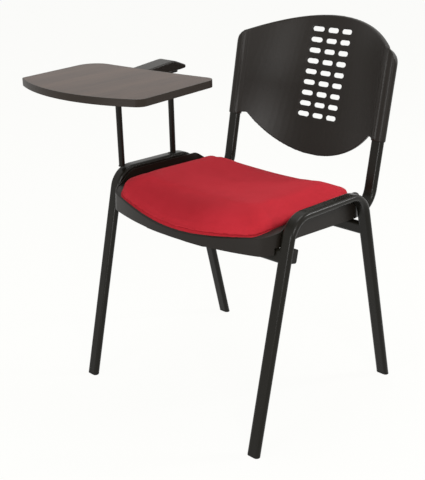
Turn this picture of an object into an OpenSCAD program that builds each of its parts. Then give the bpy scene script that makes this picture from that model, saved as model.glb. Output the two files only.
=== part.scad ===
// Tablet arm chair: a four-legged stacking chair of flat-oval steel tube, with a plastic
// backrest, an upholstered seat in a plastic pan, and a folding writing tablet on the
// sitter's right. Millimetres, +Z up, the chair faces -Y, the sitter's right is -X.
// The origin is on the floor under the middle of the chair's outer box.

/* [Tube] */
// Width of the flat-oval tube, across the chair
tube_w = 30; // [26:1:32]
// Depth of the flat-oval tube
tube_d = 15; // [13:0.5:16]
// Wall of every flat-oval tube
tube_wall = 1.5; // [1:0.1:2]

/* [Side frames] */
// Spacing of the two side frames, centre to centre
frame_spacing = 515; // [490:1:535]
// Height of the side rail's centre line, at the seat's middle
rail_z = 480; // [470:1:495]
// Fall of the side rail to the rear, in degrees
rail_fall = 1.6; // [0:0.1:2.5]
// Centre of the front foot, in front of the front rail end
foot_front_y = -66.5; // [-75:0.5:-55]
// Centre of the rear foot
foot_rear_y = 394; // [385:1:405]
// Rearward lean of the front leg, in degrees
front_lean = 13.5; // [12.5:0.1:14.5]
// Forward lean of the rear leg, in degrees
rear_lean = 13.4; // [12:0.1:14.5]
// Centre-line radius of the front shoulder bend
front_bend = 50; // [42:1:56]
// Centre-line radius of the rear shoulder bend
rear_bend = 57; // [48:1:62]
// Swell of a rounded corner past the edges beside it
corner_lap = 0.02; // [0.01:0.01:0.04]
// Swell of the tube's section in its bends
bend_swell = 0.05; // [0.03:0.01:0.1]
// Lap of the straight tube into its bends
bend_lap = 0.5; // [0.3:0.1:0.8]
// Height of the foot plug below the tube
foot_h = 5; // [3:0.5:8]
// Length of the foot plug inside the tube
plug_l = 22; // [15:1:30]
// Slack between a plug and the tube's bore
plug_slack = 0.1; // [0.05:0.05:0.3]

/* [Crossbars] */
// Height of the front crossbar's centre
front_bar_z = 408; // [404:1:412]
// Height of the rear crossbar's centre
rear_bar_z = 391; // [387:1:394]

/* [Uprights] */
// Spacing of the two uprights, centre to centre
upright_spacing = 426; // [418:1:432]
// Place of the uprights' centre at the sleeves' lower ends
upright_y = 399.6; // [394:0.1:405]
// Rearward lean of the uprights, in degrees
upright_lean = 11.4; // [10:0.1:12.5]
// Centre-line radius of the bend behind the seat
upright_bend = 54; // [48:1:58]
// Drop of the uprights' top ends below the backrest's top
upright_drop = 83; // [77:1:97]

/* [Backrest] */
// Share of the backrest's height at which its middle lies
back_share = 0.59; // [0.55:0.01:0.63]
// Step of the panel's sides in front of the sleeves
panel_proud = 2.5; // [0.5:0.5:4]
// Lean of the panel's sides over the lean of the uprights, in degrees
panel_turn = -1; // [-2:0.1:0]
// Radius of the panel across its middle
panel_r = 311; // [295:1:330]
// Half angle of the panel's cone, in degrees
panel_cone = 18.2; // [17:0.1:19]
// Wall of the panel
panel_t = 4; // [3:0.1:5]
// Half width of the backrest
back_half_w = 230.5; // [229:0.5:236]
// Height of the backrest's top edge
back_top = 797; // [785:1:810]
// Radius of the backrest's top edge, seen from the front
back_top_r = 555; // [520:1:600]
// Height of the belly's lowest point
belly_z = 480; // [476:1:490]
// Radius of the belly, seen from the front
belly_r = 242; // [236:1:250]
// Radius of the backrest's top corners, seen from the front
back_corner_r = 40; // [32:1:46]
// Width of the rim round the panel
rim_w = 4; // [3:0.1:6]
// Depth of the rim behind the panel's front face
rim_d = 10; // [8:0.5:12]
// Height of the sleeves' lower ends
sleeve_z = 556; // [550:1:562]
// Rise of the panel's lower corners over the sleeves' lower ends
notch_rise = 6; // [3:0.5:12]
// Wall of a sleeve round its upright
sleeve_wall = 2.5; // [2:0.1:3]
// Slope of the sleeves' upper ends to the rear, in degrees
sleeve_cut = 28; // [15:1:35]
// Slack between a sleeve and its upright
sleeve_slack = 0.25; // [0.1:0.05:0.4]
// Columns of slots in the panel
slot_columns = 3; // [1:2:5]
// Rows of slots in the panel
slot_rows = 9; // [5:2:9]
// Length of a slot
slot_l = 29.5; // [20:0.5:32]
// Height of a slot
slot_h = 10.5; // [9:0.5:15]
// Spacing of the slot columns
slot_pitch_x = 41; // [36:0.5:45]
// Share of the backrest's height that the slot rows take up
slot_share = 0.636; // [0.6:0.01:0.68]
// Height of the backrest screws
back_screw_z = 590; // [575:1:610]

/* [Seat] */
// Half width of the recess that holds the seat board, with the pan's wall
pan_half_w = 220; // [218:0.5:224]
// Width of the pan's ledge beyond the recess at each side
ledge_w = 21.5; // [14:0.5:22]
// Front edge of the seat pan
pan_front_y = -28; // [-34:1:-24]
// Rear edge of the seat pan
pan_rear_y = 325; // [316:1:328]
// Radius of the pan's front edge in plan
pan_bow_r = 780; // [650:10:900]
// Radius of the pan's front corners in plan
pan_front_r = 44; // [36:1:50]
// Radius of the pan's rear corners in plan
pan_rear_r = 46; // [30:1:60]
// Height of the pan's lip over the tubes, at the seat's middle
lip_h = 21.5; // [20:0.5:26]
// Depth of the pan's front apron below its floor, at the middle
apron_h = 38; // [30:1:40]
// Rise of the apron's lower edge towards the sides
apron_rise = 9; // [5:0.5:12]
// Height of the bead on the pan's wall over the ledge
rim_bead = 1.2; // [1:0.1:2]
// Further rise of the pan's side walls towards the rails
rim_rise = 26; // [14:0.5:28]
// Distance from the pan's front edge to where its side walls start to rise
rim_start = 58; // [50:1:66]
// Length over which the side walls rise, and fall at the rear
rim_run = 50; // [40:1:60]
// Depth of the pan's side walls below its floor
skirt_h = 6; // [4:0.5:8]
// Gap between the apron's ends and the front crossbar
apron_gap = 1; // [0.5:0.5:4]
// Wall and floor of the pan
pan_t = 3; // [2.5:0.1:3.5]
// Radius of the rolled front of the seat
waterfall_r = 100; // [95:1:120]
// Length of the rolled front of the seat
waterfall_l = 78; // [66:1:82]
// Thickness of the plywood seat board
board_t = 10; // [8:0.5:12]
// Slack between the board and the pan
board_slack = 0.5; // [0.3:0.1:1]
// Height of the cushion's sides
cushion_side_h = 12; // [8:0.5:13]
// Rise of the cushion's middle over its sides
cushion_crown = 10; // [6:0.5:16]
// Rise of the cushion's left and right over its middle
cushion_dish = 30; // [10:1:36]
// Inward draw of the cushion's lower edge
cushion_draw = 5; // [2:0.5:7]
// Gap between the cushion and the board under it
cushion_gap = 0.3; // [0.2:0.1:0.5]
// Inset of the cushion's fullest line from the pan's edge
cushion_inset = 3; // [1:0.5:5]
// Distance of the seat screws from the seat's middle line
seat_screw_x = 208; // [206:0.5:210]
// Front row of seat screws, behind the pan's front edge
seat_screw_front = 98; // [94:1:115]
// Rear row of seat screws, in front of the pan's rear edge
seat_screw_rear = 55; // [45:1:80]

/* [Stacking buffers] */
// Height of the buffers' middle
buffer_z = 411; // [404:1:416]
// Height of a buffer
buffer_h = 29; // [24:1:34]
// Width of a buffer
buffer_w = 20; // [14:1:24]
// Reach of a buffer behind the leg
buffer_reach = 17; // [14:1:24]

/* [Arm] */
// Diameter of the arm posts
post_d = 14; // [12:0.5:16]
// Wall of the arm posts
post_wall = 1.5; // [1:0.1:2]
// Place of the front arm post
post_front_y = 61; // [56:1:70]
// Place of the rear arm post
post_rear_y = 223.5; // [215:0.5:230]
// Height of the posts' top ends
post_top = 682; // [660:1:700]
// Width of the flat bar on the posts
arm_bar_w = 36; // [30:1:36]
// Thickness of the flat bar
arm_bar_t = 5; // [4:0.5:6]
// Front end of the flat bar
arm_bar_front_y = -74; // [-84:1:-70]
// Reach of the flat bar behind the rear post
arm_bar_tail = 19; // [18:1:24]
// Width of the arm pad
pad_w = 50; // [44:1:52]
// Front end of the arm pad, in front of the front post
pad_lead = 9; // [8:0.5:12]
// Rear tip of the arm pad, behind the rear post
pad_tail = 38; // [30:1:44]
// Crest of the arm pad, in front of the rear post
pad_crest_lead = 10; // [4:1:20]
// Thickness of the arm pad at its front end
pad_front_t = 7; // [5:0.5:9]
// Thickness of the arm pad at its crest
pad_crest_t = 24; // [18:0.5:28]
// Thickness of the arm pad at its rear tip
pad_tip_t = 4; // [3:0.5:6]
// Height of the pad's underside at its rear tip, over the bar
pad_tip_lift = 3; // [0:0.5:5]
// Radius of the arm pad's crest, seen from the side
pad_crest_r = 26; // [18:1:34]
// Radius of the arm pad's ends in plan
pad_end_r = 16; // [10:1:20]

/* [Tablet hinge] */
// Turn of the tablet towards the sitter, in degrees
tablet_turn = 5.5; // [4:0.1:6]
// Place of the hinge channel's middle
channel_y = -12; // [-16:1:-6]
// Width of the hinge channel
channel_w = 28; // [24:1:30]
// Height of the hinge channel
channel_h = 16.5; // [14:0.5:20]
// Wall of the hinge channel
channel_wall = 3; // [2.5:0.1:3.5]
// Length of the hinge channel and leaf
hinge_l = 110; // [100:1:116]
// Outer radius of a hinge knuckle
knuckle_r = 5.5; // [5.2:0.1:6]
// Length of a hinge knuckle
knuckle_l = 16; // [12:1:20]
// Gap between neighbouring knuckles
knuckle_gap = 0.4; // [0.3:0.1:0.8]
// Gap between the knuckles and the channel's wall
knuckle_clear = 2; // [1:0.5:3]
// Radius of the hinge pin
pin_r = 3; // [2.5:0.1:3.2]
// Running clearance round the hinge pin
pin_clear = 0.05; // [0.03:0.01:0.08]
// Radius of the pin's riveted heads
pin_head_r = 4.6; // [4.2:0.1:5]
// Thickness of the pin's riveted heads
pin_head_t = 2; // [1.5:0.1:3]
// Thickness of the hinge leaf
leaf_t = 3; // [2.5:0.1:3.2]
// Reach of the leaf inward from the channel's middle
leaf_reach = 75; // [65:1:90]
// Gap between the leaf and the channel while the tablet is down
leaf_gap = 0.3; // [0.2:0.1:0.5]

/* [Tablet] */
// Width of the tablet
tablet_w = 357; // [330:1:380]
// Depth of the tablet at its rear and front corners
tablet_side_l = 226; // [215:1:235]
// Rise of the tablet's bowed front edge beyond its front corners
tablet_bow = 39; // [30:1:45]
// Radius of the tablet's front edge
tablet_bow_r = 380; // [360:5:450]
// Offset of the bow's middle towards the sitter
tablet_bow_shift = 15; // [0:1:20]
// Hollow of the tablet's rear edge
tablet_hollow = 5; // [2:0.5:8]
// Radius of the outer rear corner
tablet_r_outer_rear = 45; // [30:1:55]
// Radius of the inner rear corner
tablet_r_inner_rear = 24; // [15:1:35]
// Radius of the inner front corner
tablet_r_inner_front = 22; // [15:1:30]
// Radius of the outer front corner
tablet_r_outer_front = 14; // [10:1:25]
// Thickness of the tablet
tablet_t = 15; // [15:0.5:18]
// Thickness of the edge band
band_t = 2; // [1.5:0.1:3]
// Outer edge of the tablet, outboard of the channel's middle
tablet_out = 66; // [60:1:70]
// Rear edge of the tablet's sides, behind the channel's middle
tablet_back = 76; // [70:1:80]

/* [Fasteners] */
// Shank radius of the seat screws
seat_screw_r = 3; // [2.5:0.1:3]
// Head radius of the seat screws
seat_head_r = 6; // [5:0.1:6.5]
// Head height of the seat screws
seat_head_h = 3.5; // [2.5:0.1:4]
// Shank radius of the pad and backrest screws
small_screw_r = 2.5; // [2:0.1:2.5]
// Head radius of the pad and backrest screws
small_head_r = 4.6; // [4:0.1:5]
// Head height of the pad and backrest screws
small_head_h = 2.6; // [2:0.1:3]
// Shank radius of the tablet's wood screws
wood_screw_r = 2; // [1.8:0.1:2.2]
// Head radius of the tablet's wood screws
wood_head_r = 4; // [3.5:0.1:4.2]
// Length of the wood screws in the tablet
wood_screw_l = 11; // [8:0.5:13]
// Slack of a screw in its hole
screw_slack = 0.1; // [0.05:0.05:0.2]

/* [Hidden] */
$fn = 64;

// Overrun of a cut past the face that it opens
over = 1;
// Place along the chair at which rail and seat heights are given
mid_y = 150;
// Larger than the chair, for half spaces
vast = 3 * frame_spacing;
side_x = frame_spacing / 2;
up_x = upright_spacing / 2;

// Colours, as the photograph shows them
frame_colour = "#26241f";
plastic_colour = "#3a3833";
fabric_colour = "#b9313b";
tablet_colour = "#746b64";
band_colour = "#2e2a26";
metal_colour = "#8d8d88";
wood_colour = "#c9a878";

// Points in the side view are [y, z]
function turn(a) = [cos(a), sin(a)];

// Rail line, and where the two leg lines meet it
function rail_at(y) = rail_z - (y - mid_y) * tan(rail_fall);
front_knee_z = (rail_z - (foot_front_y - mid_y) * tan(rail_fall))
    / (1 + tan(front_lean) * tan(rail_fall));
front_knee = [foot_front_y + front_knee_z * tan(front_lean), front_knee_z];
rear_knee_z = (rail_z - (foot_rear_y - mid_y) * tan(rail_fall))
    / (1 - tan(rear_lean) * tan(rail_fall));
rear_knee = [foot_rear_y - rear_knee_z * tan(rear_lean), rear_knee_z];
rail_dir = turn(-rail_fall);
front_leg_dir = turn(90 - front_lean);
rear_leg_dir = turn(90 + rear_lean);
front_set = front_bend * tan((90 - front_lean + rail_fall) / 2);
rear_set = rear_bend * tan((90 - rear_lean - rail_fall) / 2);
front_leg_end = front_knee - front_leg_dir * front_set;
rail_front = front_knee + rail_dir * front_set;
rail_rear = rear_knee - rail_dir * rear_set;
rear_leg_end = rear_knee - rear_leg_dir * rear_set;

// Crossbars lie in the legs' planes
front_bar = [foot_front_y + front_bar_z * tan(front_lean), front_bar_z];
rear_bar = [foot_rear_y - rear_bar_z * tan(rear_lean), rear_bar_z];

// The uprights run forward under the seat, resting on both crossbars
front_bar_crown = front_bar + front_leg_dir * (tube_w - tube_d) / 2;
rear_bar_crown = rear_bar + rear_leg_dir * (tube_w - tube_d) / 2;
seat_fall = -atan2(rear_bar_crown[1] - front_bar_crown[1],
    rear_bar_crown[0] - front_bar_crown[0]);
seat_dir = turn(-seat_fall);
seat_up = turn(90 - seat_fall);
run_rear = rear_bar_crown + seat_up * tube_d;
run_front = front_bar_crown + seat_up * tube_d - seat_dir * tube_d / 2;
function run_at(y) = [y, run_rear[1] - (y - run_rear[0]) * tan(seat_fall)];
upright_dir = turn(90 - upright_lean);
function upright_at(z) = [upright_y + (z - sleeve_z) * tan(upright_lean), z];
upright_knee_z = (run_rear[1] + (run_rear[0] - upright_y + sleeve_z * tan(upright_lean))
    * tan(seat_fall)) / (1 + tan(upright_lean) * tan(seat_fall));
upright_knee = upright_at(upright_knee_z);
upright_set = upright_bend * tan((90 - upright_lean + seat_fall) / 2);
run_end = upright_knee - seat_dir * upright_set;
upright_start = upright_knee + upright_dir * upright_set;
upright_top = back_top - upright_drop;
upright_end = upright_at(upright_top);

// The backrest's cone is placed and leaned so that the panel's sides follow the sleeves
panel_half_w = up_x - tube_d / 3;
back_z = belly_z + back_share * (back_top - belly_z);
slot_pitch_z = slot_share * (back_top - belly_z) / (slot_rows - 1);
back_grip = tube_d / 2 + sleeve_wall;
panel_chord = sqrt(pow(panel_r, 2) - pow(panel_half_w, 2));
panel_sag = panel_r - panel_chord;
cone_lean = upright_lean + panel_turn + atan(panel_r / panel_chord * tan(panel_cone));
panel_lean = cone_lean - panel_cone;
panel_side = upright_at(back_z + panel_sag * sin(cone_lean));
panel_y = panel_side[0] - back_grip / cos(upright_lean) - panel_proud
    + panel_sag * cos(cone_lean);

// The seat's own frame: origin on the tubes' upper face at the chair's middle
seat_origin = run_at(mid_y) + seat_up * tube_d / 2;
function seat_y(y) = (y - mid_y) / cos(seat_fall);
pan_front = seat_y(pan_front_y);
pan_rear = seat_y(pan_rear_y);
lip_rise = seat_fall - rail_fall;
waterfall_y = pan_front + waterfall_l;
waterfall_top = [waterfall_y, lip_h + waterfall_y * tan(lip_rise)];
waterfall_c = waterfall_top + waterfall_r * turn(lip_rise - 90);
// Height of the lip over the tubes, along the seat
function lip_at(y) = y > waterfall_y ? lip_h + y * tan(lip_rise)
    : waterfall_c[1] + sqrt(max(pow(waterfall_r, 2) - pow(waterfall_c[0] - y, 2), 0));
seat_screw_ys = [pan_front + seat_screw_front, pan_rear - seat_screw_rear];
boss_r = 2.6 * seat_screw_r;
nut_barrel_r = 1.35 * seat_screw_r;
nut_flange_r = 2.2 * seat_screw_r;
nut_flange_t = seat_screw_r / 2;
nut_l = board_t - nut_flange_t;
// Height of a tee nut's top, just below the board's face
function nut_at(y) = lip_at(y) - nut_flange_r * tan(lip_rise) - screw_slack;

// Heights at the arm and the tablet
post_x = -side_x;
arm_bar_top = post_top + arm_bar_t;
channel_top = arm_bar_top + channel_h;
leaf_bottom = channel_top + leaf_gap;
tablet_bottom = leaf_bottom + leaf_t;
hinge_x = -(channel_w / 2 + knuckle_clear + knuckle_r);
hinge_z = tablet_bottom - leaf_gap - knuckle_r;
hinge_corner_r = 2 * leaf_t;
wood_screw_xs = [0, leaf_reach - 4 * wood_head_r];
wood_screw_ys = [-1, 1] * (hinge_l / 2 - 4 * wood_head_r);
leaf_notch = hinge_x + knuckle_r + knuckle_gap + leaf_gap;

// Tablet outline, in the hinge's frame
tab_x0 = -tablet_out;
tab_x1 = tab_x0 + tablet_w;
tab_y1 = tablet_back;
tab_y0 = tab_y1 - tablet_side_l - tablet_bow;
bow_c = [(tab_x0 + tab_x1) / 2 + tablet_bow_shift, tab_y0 + tablet_bow_r];
hollow_r = (pow(tablet_w / 2, 2) + pow(tablet_hollow, 2)) / (2 * tablet_hollow);
hollow_c = [(tab_x0 + tab_x1) / 2, tab_y1 - tablet_hollow + hollow_r];
function front_corner(x, r) =
    [x, bow_c[1] - sqrt(pow(tablet_bow_r - r, 2) - pow(x - bow_c[0], 2))];
function rear_corner(x, r) =
    [x, hollow_c[1] - sqrt(pow(hollow_r + r, 2) - pow(x - hollow_c[0], 2))];
outer_rear = rear_corner(tab_x0 + tablet_r_outer_rear, tablet_r_outer_rear);
inner_rear = rear_corner(tab_x1 - tablet_r_inner_rear, tablet_r_inner_rear);
inner_front = front_corner(tab_x1 - tablet_r_inner_front, tablet_r_inner_front);
outer_front = front_corner(tab_x0 + tablet_r_outer_front, tablet_r_outer_front);

// Outer box of the chair, which places the origin
box_left = post_x + outer_rear[0] * cos(tablet_turn) - outer_rear[1] * sin(tablet_turn)
    - tablet_r_outer_rear;
box_right = side_x + tube_w / 2;
box_front = channel_y + bow_c[0] * sin(tablet_turn) + bow_c[1] * cos(tablet_turn)
    - tablet_bow_r;
box_rear = panel_y + (back_top - back_z) * tan(panel_lean) + rim_d / cos(panel_lean);
origin_shift = [-(box_left + box_right) / 2, -(box_front + box_rear) / 2, 0];

// Moves a piece from the side frames' coordinates to the chair's origin
module placed() {
    translate(origin_shift) children();
}

// Puts its child on both sides of the chair
module both_sides() {
    children();
    mirror([1, 0, 0]) children();
}

// Flat-oval section, the long side along x
module oval(w, d) {
    square([w - d, d], center = true);
    for (s = [-1, 1]) translate([s * (w - d) / 2, 0]) circle(d = d);
}

// Straight tube body between two points of the side view, at one x
module run(x, p, q, w, d) {
    v = q - p;
    translate([x, p[0], p[1]])
        rotate([atan2(v[1], v[0]) - 90, 0, 0])
            linear_extrude(norm(v)) oval(w, d);
}

// Straight length of a tube path along z, carrying the rest of the path at its end
module run_on(l, w, d) {
    translate([0, 0, -bend_lap]) linear_extrude(l + 2 * bend_lap) oval(w, d);
    translate([0, 0, l]) children();
}

// Bend of a tube path from z towards y, carrying the rest of the path at its end
module bend_on(r, a, w, d) {
    translate([0, r, 0]) {
        rotate([90, 0, -90]) rotate_extrude(angle = a, $fn = 96)
            translate([r, 0]) rotate(90) oval(w + 2 * bend_swell, d + 2 * bend_swell);
        rotate([-a, 0, 0]) translate([0, -r, 0]) children();
    }
}

// A point of the front or rear leg's centre line at a height
function front_leg_at(z) = [foot_front_y + z * tan(front_lean), z];
function rear_leg_at(z) = [foot_rear_y - z * tan(rear_lean), z];

// Side frame as a solid bar of the given section, its feet left long
module frame_bar(x, w, d) {
    translate([x, foot_front_y, 0]) rotate([-front_lean, 0, 0]) translate([0, 0, -tube_d])
        run_on(norm(front_leg_end - front_leg_at(0)) + tube_d, w, d)
        bend_on(front_bend, 90 - front_lean + rail_fall, w, d)
        run_on(norm(rail_rear - rail_front), w, d)
        bend_on(rear_bend, 90 - rear_lean - rail_fall, w, d)
        run_on(norm(rear_leg_end - rear_leg_at(0)) + tube_d, w, d);
}

// Everything below a height
module below(z) {
    translate([-vast / 2, -vast / 2, z - vast]) cube(vast);
}

// Bore across a leg's rear wall for a buffer's peg
buffer_peg_r = buffer_w / 8;
buffer_peg_l = tube_wall + buffer_peg_r;
buffer_at = front_leg_at(buffer_z);
module at_buffer(s) {
    translate([s * side_x, buffer_at[0], buffer_at[1]])
        rotate([-front_lean, 0, 0]) translate([0, tube_d / 2, 0]) children();
}

module side_frame(s) {
    color(frame_colour) placed() difference() {
        frame_bar(s * side_x, tube_w, tube_d);
        frame_bar(s * side_x, tube_w - 2 * tube_wall, tube_d - 2 * tube_wall);
        below(foot_h);
        at_buffer(s) rotate([-90, 0, 0]) translate([0, 0, -2 * tube_wall])
            cylinder(r = buffer_peg_r + screw_slack, h = 3 * tube_wall);
    }
}
module side_frame_left() { side_frame(1); }
module side_frame_right() { side_frame(-1); }

// Crossbar as a bar of the given section, its long side along the legs
module cross_bar_body(p, lean, w, d) {
    translate([0, p[0], p[1]]) rotate([lean, 0, 0]) rotate([0, 90, 0])
        linear_extrude(frame_spacing, center = true) oval(w, d);
}
module crossbar(p, lean) {
    color(frame_colour) placed() difference() {
        cross_bar_body(p, lean, tube_w, tube_d);
        cross_bar_body(p, lean, tube_w - 2 * tube_wall, tube_d - 2 * tube_wall);
        for (s = [-1, 1]) frame_bar(s * side_x, tube_w, tube_d);
    }
}
module front_crossbar() { crossbar(front_bar, -front_lean); }
module rear_crossbar() { crossbar(rear_bar, rear_lean); }

// Upright as a solid bar: the run under the seat, the bend, and the stem behind the back
module upright_bar(x, w, d, extra) {
    translate([x, run_front[0], run_front[1]]) rotate([-90 - seat_fall, 0, 0]) rotate(180)
        translate([0, 0, bend_lap - extra])
            run_on(norm(run_end - run_front) - bend_lap + extra, w, d)
            bend_on(upright_bend, 90 - upright_lean + seat_fall, w, d)
            run_on(norm(upright_end - upright_start) - bend_lap + extra, w, d);
}

// Moves a piece from the seat's frame to the side frames' coordinates
module on_seat() {
    translate([0, seat_origin[0], seat_origin[1]]) rotate([-seat_fall, 0, 0]) children();
}

// Places its child at each seat screw on one side or on both
module at_seat_screws(sides = [-1, 1]) {
    for (s = sides, y = seat_screw_ys) translate([s * seat_screw_x, y, 0]) children();
}

// Places its child on the rear face of a sleeve, pointing to the rear
back_screw_at = upright_at(back_screw_z);
module at_back_screws(sides = [-1, 1]) {
    for (s = sides) translate([s * up_x, back_screw_at[0], back_screw_at[1]])
        rotate([-upright_lean, 0, 0]) rotate([-90, 0, 0]) children();
}

module upright(s) {
    color(frame_colour) placed() difference() {
        upright_bar(s * up_x, tube_w, tube_d, 0);
        upright_bar(s * up_x, tube_w - 2 * tube_wall, tube_d - 2 * tube_wall, over);
        on_seat() at_seat_screws([s]) translate([0, 0, -tube_d - over])
            cylinder(r = seat_screw_r + screw_slack, h = tube_d + 2 * over);
        at_back_screws([s]) cylinder(r = small_screw_r + screw_slack, h = tube_d);
    }
}
module upright_left() { upright(1); }
module upright_right() { upright(-1); }

// Black plastic plug in a tube's foot, with a sole that meets the floor
module foot_plug(x, foot, leg_top) {
    dir = (leg_top - foot) / norm(leg_top - foot);
    bore_w = tube_w - 2 * tube_wall - 2 * plug_slack;
    bore_d = tube_d - 2 * tube_wall - 2 * plug_slack;
    color(plastic_colour) placed() difference() {
        union() {
            difference() {
                run(x, foot - dir * tube_d, foot + dir * tube_d, tube_w, tube_d);
                translate([0, 0, foot_h]) translate([-vast / 2, -vast / 2, 0]) cube(vast);
            }
            run(x, foot, foot + dir * (foot_h + plug_l), bore_w, bore_d);
        }
        below(0);
    }
}
module foot_plug_front_left() { foot_plug(side_x, front_leg_at(0), front_leg_at(rail_z)); }
module foot_plug_front_right() { foot_plug(-side_x, front_leg_at(0), front_leg_at(rail_z)); }
module foot_plug_rear_left() { foot_plug(side_x, rear_leg_at(0), rear_leg_at(rail_z)); }
module foot_plug_rear_right() { foot_plug(-side_x, rear_leg_at(0), rear_leg_at(rail_z)); }

// Plastic buffer on a front leg that keeps stacked chairs apart
module stacking_buffer(s) {
    corner = buffer_w / 5;
    color(plastic_colour) placed() at_buffer(s) {
        intersection() {
            translate([-buffer_w / 2, 0, -buffer_h / 2]) cube([buffer_w, buffer_reach, buffer_h]);
            rotate([90, 0, 90]) linear_extrude(buffer_w, center = true) {
                translate([0, -buffer_h / 2]) square([buffer_reach - corner, buffer_h]);
                translate([0, corner - buffer_h / 2]) square([buffer_reach, buffer_h - 2 * corner]);
                for (t = [-1, 1]) translate([buffer_reach - corner, t * (buffer_h / 2 - corner)])
                    circle(corner);
            }
        }
        rotate([90, 0, 0]) cylinder(r = buffer_peg_r, h = buffer_peg_l);
    }
}
module stacking_buffer_left() { stacking_buffer(1); }
module stacking_buffer_right() { stacking_buffer(-1); }

// Material outside an arc at a convex corner: c is the arc's centre, u and v its two ends
module corner_waste(c, r, u, v) {
    far = (u + v) / (1 + u * v);
    spread = 1 + over / r;
    translate(c) difference() {
        polygon([[0, 0], u * r, far * r * spread, v * r]);
        circle(r + corner_lap);
    }
}
function toward(p, q) = (q - p) / norm(q - p);

// Seat outline in plan, in the seat's frame, drawn in by a margin and widened by a ledge
module seat_outline(margin, ledge) {
    w = pan_half_w + ledge - margin;
    bow = pan_bow_r - margin;
    c = [0, pan_front + pan_bow_r];
    fr = pan_front_r - margin;
    rr = pan_rear_r - margin;
    fx = w - fr;
    front_c = [fx, c[1] - sqrt(pow(bow - fr, 2) - pow(fx, 2))];
    rear_c = [w - rr, pan_rear - margin - rr];
    difference() {
        intersection() {
            translate([-w, pan_front]) square([2 * w, pan_rear - margin - pan_front]);
            translate(c) circle(bow, $fn = 180);
        }
        for (s = [0, 1]) mirror([s, 0]) {
            corner_waste(front_c, fr, toward(c, front_c), [1, 0]);
            corner_waste(rear_c, rr, [1, 0], [0, 1]);
        }
    }
}

// Side view of everything under the seat's rolled upper line, drawn down by a depth
waterfall_steps = 15;
module under_lip(depth) {
    r = waterfall_r - depth;
    a = 90 + lip_rise;
    rear = waterfall_c + r * turn(a) + vast * turn(lip_rise);
    polygon(concat([[rear[0], -vast], rear],
        [for (i = [0 : waterfall_steps])
            waterfall_c + r * turn(a + (180 - a) * i / waterfall_steps)],
        [[waterfall_c[0] - r, -vast]]));
}
// Height of the pan's outer wall along the seat
function ease(t) = let (k = min(max(t, 0), 1)) k * k * (3 - 2 * k);
function rim_at(y) = lip_at(y) + rim_bead + rim_rise
    * min(ease((y - pan_front - rim_start) / rim_run), ease((pan_rear - y) / rim_run));
rim_steps = 8;
// Side view of everything under the rim of the pan's outer wall
module under_rim() {
    ys = concat([for (i = [0 : rim_steps - 1]) pan_front + rim_start * i / rim_steps],
        [for (y = [pan_front + rim_start, pan_rear - rim_run], i = [0 : rim_steps])
            y + rim_run * i / rim_steps]);
    polygon(concat([[vast, -vast], [-vast, -vast], [-vast, rim_at(pan_front)]],
        [for (y = ys) [y, rim_at(y)]], [[vast, rim_at(pan_rear)]]));
}
// Side view of everything below a height
module under_level(z) {
    translate([-vast, z - vast]) square([2 * vast, vast]);
}
module seat_slice() {
    rotate([90, 0, 90]) linear_extrude(3 * pan_half_w, center = true) children();
}

// The pan's rear notches clear the uprights where they turn up behind the seat
notch_y = seat_y(run_end[0]);
notch_r = upright_bend - tube_d / 2;
notch_l = max(min(pan_rear - notch_y, notch_r), 0);
notch_h = notch_r - sqrt(pow(notch_r, 2) - pow(notch_l, 2)) + pan_t;
notch_w = tube_w + pan_t;
// The apron ends just in front of the crossbar
apron_y = seat_y(front_bar[0] - tube_d / 2 - apron_gap);
// Behind the apron, the side walls stay low over the crossbar and rise after it
bar_back_y = seat_y(front_bar[0] + tube_d / 2 + apron_gap);
bar_skirt = tube_d - apron_gap;

module seat_prism(margin, ledge = 0) {
    translate([0, 0, -apron_h - over]) linear_extrude(apron_h + 2 * lip_h + rim_rise + board_t)
        seat_outline(margin, ledge);
}

module seat_pan() {
    color(plastic_colour) placed() on_seat() difference() {
        union() {
            intersection() {
                difference() {
                    seat_prism(pan_t / 2, ledge_w);
                    seat_prism(pan_t + board_slack / 2);
                }
                seat_slice() difference() {
                    under_lip(0);
                    under_lip(pan_t);
                }
            }
            intersection() {
                difference() {
                    seat_prism(0, ledge_w);
                    seat_prism(pan_t, ledge_w);
                }
                seat_slice() difference() {
                    under_rim();
                    polygon([[-vast, -vast], [-vast, -apron_h], [pan_front, -apron_h],
                        [apron_y, apron_rise - apron_h], [apron_y, -bar_skirt],
                        [bar_back_y, -bar_skirt], [bar_back_y + rim_run, -skirt_h],
                        [vast, -skirt_h], [vast, -vast]]);
                }
            }
            intersection() {
                seat_prism(pan_t / 2, ledge_w);
                seat_slice() difference() {
                    intersection() {
                        under_level(pan_t);
                        under_lip(board_t);
                    }
                    intersection() {
                        under_level(0);
                        under_lip(board_t + pan_t);
                    }
                }
            }
            intersection() {
                at_seat_screws() cylinder(r = boss_r, h = 2 * lip_h);
                seat_slice() under_lip(board_t);
            }
        }
        at_seat_screws() translate([0, 0, -over])
            cylinder(r = seat_screw_r + screw_slack, h = 2 * lip_h);
        if (notch_l > 0) for (s = [-1, 1])
            translate([s * up_x - notch_w / 2, notch_y, -skirt_h - over])
                cube([notch_w, pan_rear - notch_y + over, skirt_h + notch_h + over]);
    }
}

// Places its child at each tee nut, at the height of its top
module at_nuts() {
    for (s = [-1, 1], y = seat_screw_ys) translate([s * seat_screw_x, y, nut_at(y)]) children();
}

module seat_board() {
    color(wood_colour) placed() on_seat() difference() {
        intersection() {
            seat_prism(pan_t + board_slack);
            seat_slice() difference() {
                under_lip(0);
                under_lip(board_t);
            }
        }
        at_nuts() {
            translate([0, 0, -2 * board_t]) cylinder(r = nut_barrel_r + screw_slack, h = 2 * board_t);
            translate([0, 0, -nut_flange_t])
                cylinder(r = nut_flange_r + screw_slack, h = nut_flange_t + board_t);
        }
    }
}

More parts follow.
